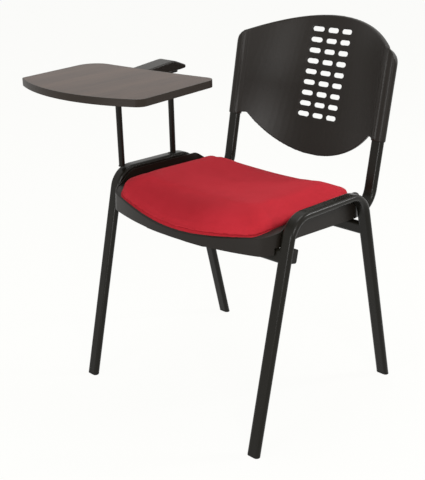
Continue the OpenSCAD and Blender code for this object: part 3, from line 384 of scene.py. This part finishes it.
def new_object(name: str, mesh: bpy.types.Mesh, finish: Finish, materials: dict[str, bpy.types.Material],
               body: Body) -> bpy.types.Object:
    """Links a new piece, gives it its finish and lets it ride.

    Args:
        name: The piece's name.
        mesh: Its mesh, in the model's frame.
        finish: Its finish.
        materials: Finish name to material.
        body: The body it rides on.

    Returns:
        The new object.
    """
    piece = bpy.data.objects.new(name, mesh)
    bpy.context.scene.collection.objects.link(piece)
    mesh.materials.clear()
    mesh.materials.append(materials[finish.name])
    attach(piece, body.value)
    LOG.info("built %s in %s", name, finish.name)
    return piece


def dress_nodes(names: Iterable[str], finish: Finish, materials: dict[str, bpy.types.Material]) -> None:
    """Gives carried-over CAD nodes their finish.

    Args:
        names: The nodes.
        finish: Their finish.
        materials: Finish name to material.
    """
    for name in names:
        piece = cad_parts[name]
        if not piece.material_slots:
            piece.data.materials.append(None)
        for slot in piece.material_slots:
            slot.material = materials[finish.name]
        LOG.info("dressed %s in %s", name, finish.name)


def round_edges(name: str, width_mm: float, degrees: float = 40.0) -> None:
    """Breaks the sharp edges of a carried-over node, as its real piece has them.

    Args:
        name: The node.
        width_mm: Width of the rounding, in mm.
        degrees: Edges sharper than this are rounded.
    """
    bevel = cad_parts[name].modifiers.new("broken edges", "BEVEL")
    bevel.width = width_mm * MM
    bevel.segments = 3
    bevel.limit_method = "ANGLE"
    bevel.angle_limit = math.radians(degrees)
    bevel.use_clamp_overlap = True


def applied(piece: bpy.types.Object) -> bpy.types.Mesh:
    """Gives the piece the mesh that its modifiers make, and takes them off.

    Args:
        piece: The object.

    Returns:
        Its new mesh.
    """
    graph = bpy.context.evaluated_depsgraph_get()
    mesh = bpy.data.meshes.new_from_object(piece.evaluated_get(graph))
    piece.modifiers.clear()
    piece.data = mesh
    return mesh


def node_copy(node: str) -> bpy.types.Object:
    """Makes a loose working copy of a CAD node's mesh.

    Args:
        node: The node.

    Returns:
        The working object, linked but riding on nothing.
    """
    work = bpy.data.objects.new("work_" + node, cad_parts[node].data.copy())
    bpy.context.scene.collection.objects.link(work)
    return work


def moulded(node: str, voxel_mm: float, rounds: int) -> bpy.types.Mesh:
    """Re-skins a CAD node as one even mesh whose edges are rounded, as a moulding tool leaves them.

    Args:
        node: The node.
        voxel_mm: Size of the even mesh, in mm.
        rounds: Smoothing passes; more passes make larger radii.

    Returns:
        The new mesh, in the model's frame.
    """
    work = node_copy(node)
    skin = work.modifiers.new("skin", "REMESH")
    skin.mode = "VOXEL"
    skin.voxel_size = voxel_mm * MM
    skin.use_smooth_shade = True
    ease = work.modifiers.new("ease", "SMOOTH")
    ease.factor = 0.5
    ease.iterations = rounds
    mesh = applied(work)
    bpy.data.objects.remove(work)
    mesh.name = node + "_skin"
    mesh.shade_smooth()
    return mesh


def bead_mesh(name: str, path: Sequence[Vector], radius: float) -> bpy.types.Mesh:
    """Sweeps a rippled weld bead along a closed path.

    Args:
        name: The mesh's name.
        path: Points of the path, in metres.
        radius: Radius of the bead, in metres.

    Returns:
        The bead's mesh.
    """
    sides, ripple, ripple_turn = 8, 0.12, 2.1
    work = bmesh.new()
    rings = []
    count = len(path)
    for i, point in enumerate(path):
        along = (path[(i + 1) % count] - path[i - 1]).normalized()
        side = along.orthogonal().normalized()
        other = along.cross(side)
        # The welder's steps show as ripples along the bead.
        swell = radius * (1.0 + ripple * math.cos(i * ripple_turn))
        rings.append([work.verts.new(point + (side * math.cos(a) + other * math.sin(a)) * swell)
                      for a in (2 * math.pi * k / sides for k in range(sides))])
    for i in range(count):
        lower, upper = rings[i], rings[(i + 1) % count]
        # Neighbouring rings may start at different corners, so the nearest is found first.
        start = min(range(sides), key=lambda k: (upper[k].co - lower[0].co).length)
        for k in range(sides):
            work.faces.new((lower[k], lower[(k + 1) % sides],
                            upper[(k + 1 + start) % sides], upper[(k + start) % sides]))
    bmesh.ops.recalc_face_normals(work, faces=work.faces)
    mesh = bpy.data.meshes.new(name)
    work.to_mesh(mesh)
    work.free()
    mesh.shade_smooth()
    return mesh


@dataclass
class SteelFrame:
    """The welded steel frame: two leg frames, two crossbars, two uprights and the arm's two posts."""

    materials: dict[str, bpy.types.Material]
    post_x: float = -257.5
    bead_ys: tuple[float, float] = (61.0, 217.0)
    post_r: float = 7.0
    rail_top: float = 489.6
    rail_fall: float = 1.6
    rail_flat: float = 7.5
    rail_round: float = 15.0
    bead_r: float = 1.3
    bead_steps: int = 40
    steel_nodes: tuple[str, ...] = (
        "side_frame_left", "side_frame_right", "front_crossbar", "rear_crossbar", "upright_left",
        "upright_right", "arm_post_front", "arm_post_rear", "arm_bar", "hinge_channel", "hinge_leaf")
    plastic_nodes: tuple[str, ...] = (
        "foot_plug_front_left", "foot_plug_front_right", "foot_plug_rear_left", "foot_plug_rear_right",
        "stacking_buffer_left", "stacking_buffer_right")

    def build(self) -> None:
        """Dresses the tubes and the plastic fittings, and lays the visible welds."""
        dress_nodes(self.steel_nodes, POWDER, self.materials)
        dress_nodes(self.plastic_nodes, RUBBER, self.materials)
        for name in self.plastic_nodes:
            round_edges(name, 1.0)
        for name in ("arm_bar", "hinge_channel", "hinge_leaf"):
            round_edges(name, 0.6)
        for label, y in zip(("front", "rear"), self.bead_ys):
            self.post_weld(label, y)

    def post_weld(self, label: str, y: float) -> None:
        """Lays a bead round a post, along the straight line of the side rail's top.

        The front post's foot ends on that line, above the rail's front bend, so its bead lies on no rail.
        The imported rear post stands 6.5 mm behind the rear bead's place.

        Args:
            label: Which post.
            y: The bead's place, in mm.
        """
        path = []
        for i in range(self.bead_steps):
            a = 2 * math.pi * i / self.bead_steps
            dx, dy = self.post_r * math.cos(a), self.post_r * math.sin(a)
            # The rail's top is round across: its height falls away from the middle.
            across = max(abs(dx) - self.rail_flat, 0.0)
            fall = (y + dy - self.bead_ys[0]) * math.tan(math.radians(self.rail_fall))
            z = self.rail_top - fall - across * across / self.rail_round
            path.append(chair_point(self.post_x + dx, y + dy, z))
        mesh = bead_mesh("post_weld_" + label, path, self.bead_r * MM)
        new_object("post_weld_" + label, mesh, POWDER, self.materials, Body.CHAIR)


@dataclass
class Seat:
    """The seat: moulded pan, plywood board with tee nuts, and the upholstered cushion."""

    materials: dict[str, bpy.types.Material]
    pan_round: float = 1.0
    cloth_voxel: float = 4.5
    shrink: float = 0.6
    cap: float = 3.0
    softening: int = 220
    pull_in: float = 0.6
    push_out: float = 0.62
    middle_y: float = 150.0
    headroom: float = 8.0
    rim_share: float = 0.38
    undercut: float = 7.0
    cover_mm: float = 0.25
    frames: int = 20
    pressure: float = 4.0
    cloth_quality: int = 6
    stretch: float = 20.0
    shear: float = 8.0
    bend: float = 1.0
    facing: float = 0.2

    def build(self) -> None:
        """Dresses the board, its hardware and the pan, and makes the cushion."""
        dress_nodes(["seat_board"], PLYWOOD, self.materials)
        dress_nodes(["seat_tee_nuts", "seat_screws"], ZINC, self.materials)
        dress_nodes(["seat_pan"], PLASTIC, self.materials)
        round_edges("seat_pan", self.pan_round)
        self.cushion()

    def cushion(self) -> None:
        """Makes the cushion: cloth drawn over foam, blown up and settled by a cloth simulation."""
        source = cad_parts["seat_cushion"]
        work = node_copy("seat_cushion")
        skin = work.modifiers.new("skin", "REMESH")
        skin.mode = "VOXEL"
        skin.voxel_size = self.cloth_voxel * MM
        ease = work.modifiers.new("ease", "SMOOTH")
        ease.factor = 0.5
        ease.iterations = 3
        mesh = applied(work)
        _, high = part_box("seat_cushion")
        held = work.vertex_groups.new(name="held")
        for vertex in mesh.vertices:
            found, near, normal, _ = source.closest_point_on_mesh(vertex.co)
            if not found:
                continue
            if normal.z < -self.facing:
                # The underside lies on the board, out to the fullest line of the sides.
                vertex.co = near
                vertex.co.z -= self.tuck_under(source, near) * MM
                held.add([vertex.index], 1.0, "REPLACE")
            else:
                vertex.co = near - normal * self.shrink * MM
        self.soften(mesh, work)
        start = [v.co.copy() for v in mesh.vertices]
        settled = self.swell(work)
        for vertex, point, first in zip(mesh.vertices, settled, start):
            move = point - first
            if move.length > self.cap * MM:
                move *= self.cap * MM / move.length
            vertex.co = first + move
        smooth = work.modifiers.new("ease", "SMOOTH")
        smooth.factor = 0.4
        smooth.iterations = 2
        finer = work.modifiers.new("finer", "SUBSURF")
        finer.levels = finer.render_levels = 1
        mesh = applied(work)
        bpy.data.objects.remove(work)
        mesh.name = "cushion"
        for vertex in mesh.vertices:
            vertex.co.z = min(vertex.co.z, high.z + self.headroom * MM)
        mesh.shade_smooth()
        cushion = new_object("cushion", mesh, CLOTH, self.materials, Body.CHAIR)
        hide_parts("seat_cushion")
        self.wrap()

    def wrap(self) -> None:
        """Lays the cover over the board's rim, where it is drawn round the edge and stapled below."""
        work = node_copy("seat_board")
        mesh = work.data
        shape = bmesh.new()
        shape.from_mesh(mesh)
        shape.normal_update()
        low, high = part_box("seat_board")
        below = [f for f in shape.faces if f.normal.z < self.facing and not self.is_rim(f, low, high)]
        bmesh.ops.delete(shape, geom=below, context="FACES")
        shape.to_mesh(mesh)
        shape.free()
        sheet = work.modifiers.new("cloth", "SOLIDIFY")
        sheet.thickness = self.cover_mm * MM
        sheet.offset = 1.0
        mesh = applied(work)
        bpy.data.objects.remove(work)
        mesh.name = "cover_edge"
        new_object("cover_edge", mesh, CLOTH, self.materials, Body.CHAIR)

    def is_rim(self, face: bmesh.types.BMFace, low: Vector, high: Vector) -> bool:
        """Tells whether a face of the board is part of its outer edge.

        Args:
            face: The face.
            low: The board's lowest corner.
            high: Its highest corner.

        Returns:
            True for a face of the outer edge.
        """
        middle = (low + high) / 2
        place = face.calc_center_median()
        inner = Vector((place.x - middle.x, place.y - middle.y, 0.0))
        reach = min(high.x - low.x, high.y - low.y) * self.rim_share
        return abs(face.normal.z) <= self.facing and inner.length > reach

    def soften(self, mesh: bpy.types.Mesh, work: bpy.types.Object) -> None:
        """Evens out the foam's surface: each pass smooths it, then gives back the volume it lost.

        Args:
            mesh: The cushion's mesh.
            work: Its object, whose held group stays put.
        """
        held = np.array([any(g.weight > 0.5 for g in v.groups) for v in mesh.vertices])
        first, second = np.array([edge.vertices[:] for edge in mesh.edges]).T
        joined = np.bincount(first, minlength=len(held)) + np.bincount(second, minlength=len(held))
        places = np.array([v.co[:] for v in mesh.vertices])
        for turn in range(2 * self.softening):
            total = np.stack([np.bincount(first, places[second, k], len(held))
                              + np.bincount(second, places[first, k], len(held)) for k in range(3)], axis=1)
            # The second, outward half of each pass keeps the dome from sinking.
            share = self.pull_in if turn % 2 == 0 else -self.push_out
            step = share * (total / joined[:, None] - places)
            step[held] = 0.0
            places += step
        for vertex, place in zip(mesh.vertices, places):
            vertex.co = place
        LOG.info("softened %s", work.name)

    def tuck_under(self, source: bpy.types.Object, point: Vector) -> float:
        """How far a point of the cushion's undercut is above the board, in mm.

        Args:
            source: The CAD cushion.
            point: A point on its underside.

        Returns:
            The drop that brings the cloth down to the board.
        """
        inside = Vector((point.x, point.y, 0.0))
        middle = Vector((SHIFT.x, SHIFT.y + self.middle_y, 0.0)) * MM
        inside += (middle - inside).normalized() * self.undercut * MM
        hit, place, _, _ = source.ray_cast(Vector((inside.x, inside.y, 0.0)), Vector((0.0, 0.0, 1.0)))
        return max((point.z - place.z) / MM, 0.0) if hit else 0.0

    def swell(self, work: bpy.types.Object) -> list[Vector]:
        """Runs the cloth simulation.

        Args:
            work: The cushion's working object, with its held group.

        Returns:
            Where each vertex settles.
        """
        cloth = work.modifiers.new("cloth", "CLOTH")
        settings = cloth.settings
        settings.use_pressure = True
        settings.uniform_pressure_force = self.pressure
        settings.vertex_group_mass = "held"
        settings.effector_weights.gravity = 0.0
        settings.quality = self.cloth_quality
        settings.tension_stiffness = settings.compression_stiffness = self.stretch
        settings.shear_stiffness = self.shear
        settings.bending_stiffness = self.bend
        cloth.point_cache.frame_end = self.frames
        scene = bpy.context.scene
        for number in range(1, self.frames + 1):
            scene.frame_set(number)
        graph = bpy.context.evaluated_depsgraph_get()
        settled = [v.co.copy() for v in work.evaluated_get(graph).data.vertices]
        work.modifiers.clear()
        scene.frame_set(1)
        return settled


@dataclass
class Backrest:
    """The backrest: one moulded shell with its sleeves over the uprights, and its two screws."""

    materials: dict[str, bpy.types.Material]
    voxel: float = 1.5
    rounds: int = 12

    def build(self) -> None:
        """Re-skins the shell with moulded radii and dresses the screws."""
        dress_nodes(["backrest_screws"], ZINC, self.materials)
        shell = new_object("backrest_moulding", moulded("backrest_shell", self.voxel, self.rounds),
                           PLASTIC, self.materials, Body.CHAIR)
        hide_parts("backrest_shell")


@dataclass
class Arm:
    """The arm: its soft-edged pad and its screws."""

    materials: dict[str, bpy.types.Material]
    voxel: float = 1.5
    rounds: int = 8

    def build(self) -> None:
        """Re-skins the pad and dresses the screws and the hinge pin."""
        dress_nodes(["arm_pad_screws", "hinge_pin"], ZINC, self.materials)
        pad = new_object("arm_pad_moulding", moulded("arm_pad", self.voxel, self.rounds), PLASTIC,
                         self.materials, Body.CHAIR)
        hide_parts("arm_pad")


@dataclass
class Tablet:
    """The writing tablet: laminated board, edge band and screws."""

    materials: dict[str, bpy.types.Material]

    def build(self) -> None:
        """Dresses the tablet's pieces."""
        dress_nodes(["tablet_board"], LAMINATE, self.materials)
        dress_nodes(["tablet_edge_band"], EDGING, self.materials)
        dress_nodes(["tablet_screws"], ZINC, self.materials)
        round_edges("tablet_edge_band", 0.8)


@dataclass
class Studio:
    """Pale floor, soft lamps and the camera at the photograph's angle."""

    azimuth: float = 44.49
    elevation: float = 21.32
    roll: float = -1.44
    focal_px: float = 931.45
    target: Vector = field(default_factory=lambda: chair_point(89.43, -0.35, 411.6))
    distance: float = 1.9122
    sensor_mm: float = 36.0
    floor_half: float = 12.0
    floor_glow: float = 0.95
    room_light: float = 0.26

    def build(self) -> None:
        """Sets the camera, the lamps, the floor and the world."""
        self.camera()
        self.floor()
        self.world()
        self.lamp("key", (3.0, -2.0, 2.4), 1.2, 64.0)
        self.lamp("front", (0.2, -3.2, 1.0), 0.9, 34.0)
        self.lamp("rim", (2.4, 2.6, 2.2), 0.8, 60.0)
        self.lamp("top", (-0.4, 0.2, 3.2), 1.4, 32.0)
        bpy.context.scene.view_settings.view_transform = "Standard"

    def camera(self) -> None:
        """Places the camera where the photograph was taken from."""
        az, el, roll = (math.radians(v) for v in (self.azimuth, self.elevation, self.roll))
        back = Vector((math.sin(az) * math.cos(el), -math.cos(az) * math.cos(el), math.sin(el)))
        right = (-back).cross(Vector((0.0, 0.0, 1.0))).normalized()
        up = right.cross(-back)
        turned_right = right * math.cos(roll) + up * math.sin(roll)
        turned_up = up * math.cos(roll) - right * math.sin(roll)
        data = bpy.data.cameras.new("photo camera")
        data.sensor_width = self.sensor_mm
        data.lens = self.focal_px * self.sensor_mm / max(IMAGE_SIZE)
        data.clip_start, data.clip_end = 0.05, 50.0
        camera = bpy.data.objects.new("photo camera", data)
        camera.matrix_world = Matrix.Translation(self.target + back * self.distance) @ Matrix(
            (turned_right, turned_up, back)).transposed().to_4x4()
        bpy.context.scene.collection.objects.link(camera)
        bpy.context.scene.camera = camera

    def lamp(self, name: str, place: tuple[float, float, float], size: float, watts: float) -> None:
        """Hangs one square soft box aimed at the seat.

        Args:
            name: The lamp's name.
            place: Its place, in metres.
            size: Its edge, in metres.
            watts: Its power.
        """
        data = bpy.data.lights.new(name, "AREA")
        data.energy = watts
        data.size = size
        lamp = bpy.data.objects.new(name, data)
        lamp.location = place
        lamp.rotation_mode = "QUATERNION"
        lamp.rotation_quaternion = (Vector((0.0, 0.0, 0.5)) - Vector(place)).to_track_quat("-Z", "Y")
        bpy.context.scene.collection.objects.link(lamp)

    def floor(self) -> None:
        """Lays the plain pale floor, which shows white and keeps a soft shadow."""
        mesh = bpy.data.meshes.new("floor")
        half = self.floor_half
        corners = [(-half, -half, 0), (half, -half, 0), (half, half, 0), (-half, half, 0)]
        mesh.from_pydata(corners, [], [(0, 1, 2, 3)])
        floor = bpy.data.objects.new("floor", mesh)
        bpy.context.scene.collection.objects.link(floor)
        material = bpy.data.materials.new("pale studio floor")
        material.use_nodes = True
        tree = material.node_tree
        tree.nodes.clear()
        matt = add_node(tree, "ShaderNodeBsdfDiffuse", {"Color": linear("#f4f4f2")})
        glow = add_node(tree, "ShaderNodeEmission", {"Color": linear("#fffffd"), "Strength": 1.0})
        seen = self.seen(tree)
        share = add_node(tree, "ShaderNodeMath", {0: seen, 1: self.floor_glow}, operation="MULTIPLY")
        mixed = add_node(tree, "ShaderNodeMixShader", {
            0: share.outputs[0], 1: matt.outputs[0], 2: glow.outputs[0]})
        add_node(tree, "ShaderNodeOutputMaterial", {"Surface": mixed.outputs[0]})
        mesh.materials.append(material)

    def seen(self, tree: bpy.types.NodeTree) -> bpy.types.NodeSocket:
        """Socket that is 1 for camera, glossy and transmission rays.

        Args:
            tree: The node tree.

        Returns:
            The socket.
        """
        path = add_node(tree, "ShaderNodeLightPath")
        first = add_node(tree, "ShaderNodeMath", {
            0: path.outputs["Is Camera Ray"], 1: path.outputs["Is Glossy Ray"]}, operation="MAXIMUM")
        last = add_node(tree, "ShaderNodeMath", {
            0: first.outputs[0], 1: path.outputs["Is Transmission Ray"]}, operation="MAXIMUM")
        return last.outputs[0]

    def world(self) -> None:
        """Lights the room evenly and shows white behind the object."""
        world = bpy.data.worlds.new("studio")
        world.use_nodes = True
        tree = world.node_tree
        tree.nodes.clear()
        room = add_node(tree, "ShaderNodeBackground", {
            "Color": linear("#ffffff"), "Strength": self.room_light})
        white = add_node(tree, "ShaderNodeBackground", {"Color": linear("#fffffd"), "Strength": 1.0})
        mixed = add_node(tree, "ShaderNodeMixShader", {
            0: self.seen(tree), 1: room.outputs[0], 2: white.outputs[0]})
        add_node(tree, "ShaderNodeOutputWorld", {"Surface": mixed.outputs[0]})
        bpy.context.scene.world = world


def main() -> None:
    """Builds every sub-assembly in order."""
    logging.basicConfig(level=logging.INFO, format="%(message)s")
    finishes = (POWDER, PLASTIC, RUBBER, CLOTH, LAMINATE, EDGING, PLYWOOD, ZINC)
    materials = {finish.name: finish.build() for finish in finishes}
    Studio().build()
    for assembly in (SteelFrame, Seat, Backrest, Arm, Tablet):
        assembly(materials).build()


if __name__ == "__main__":
    main()
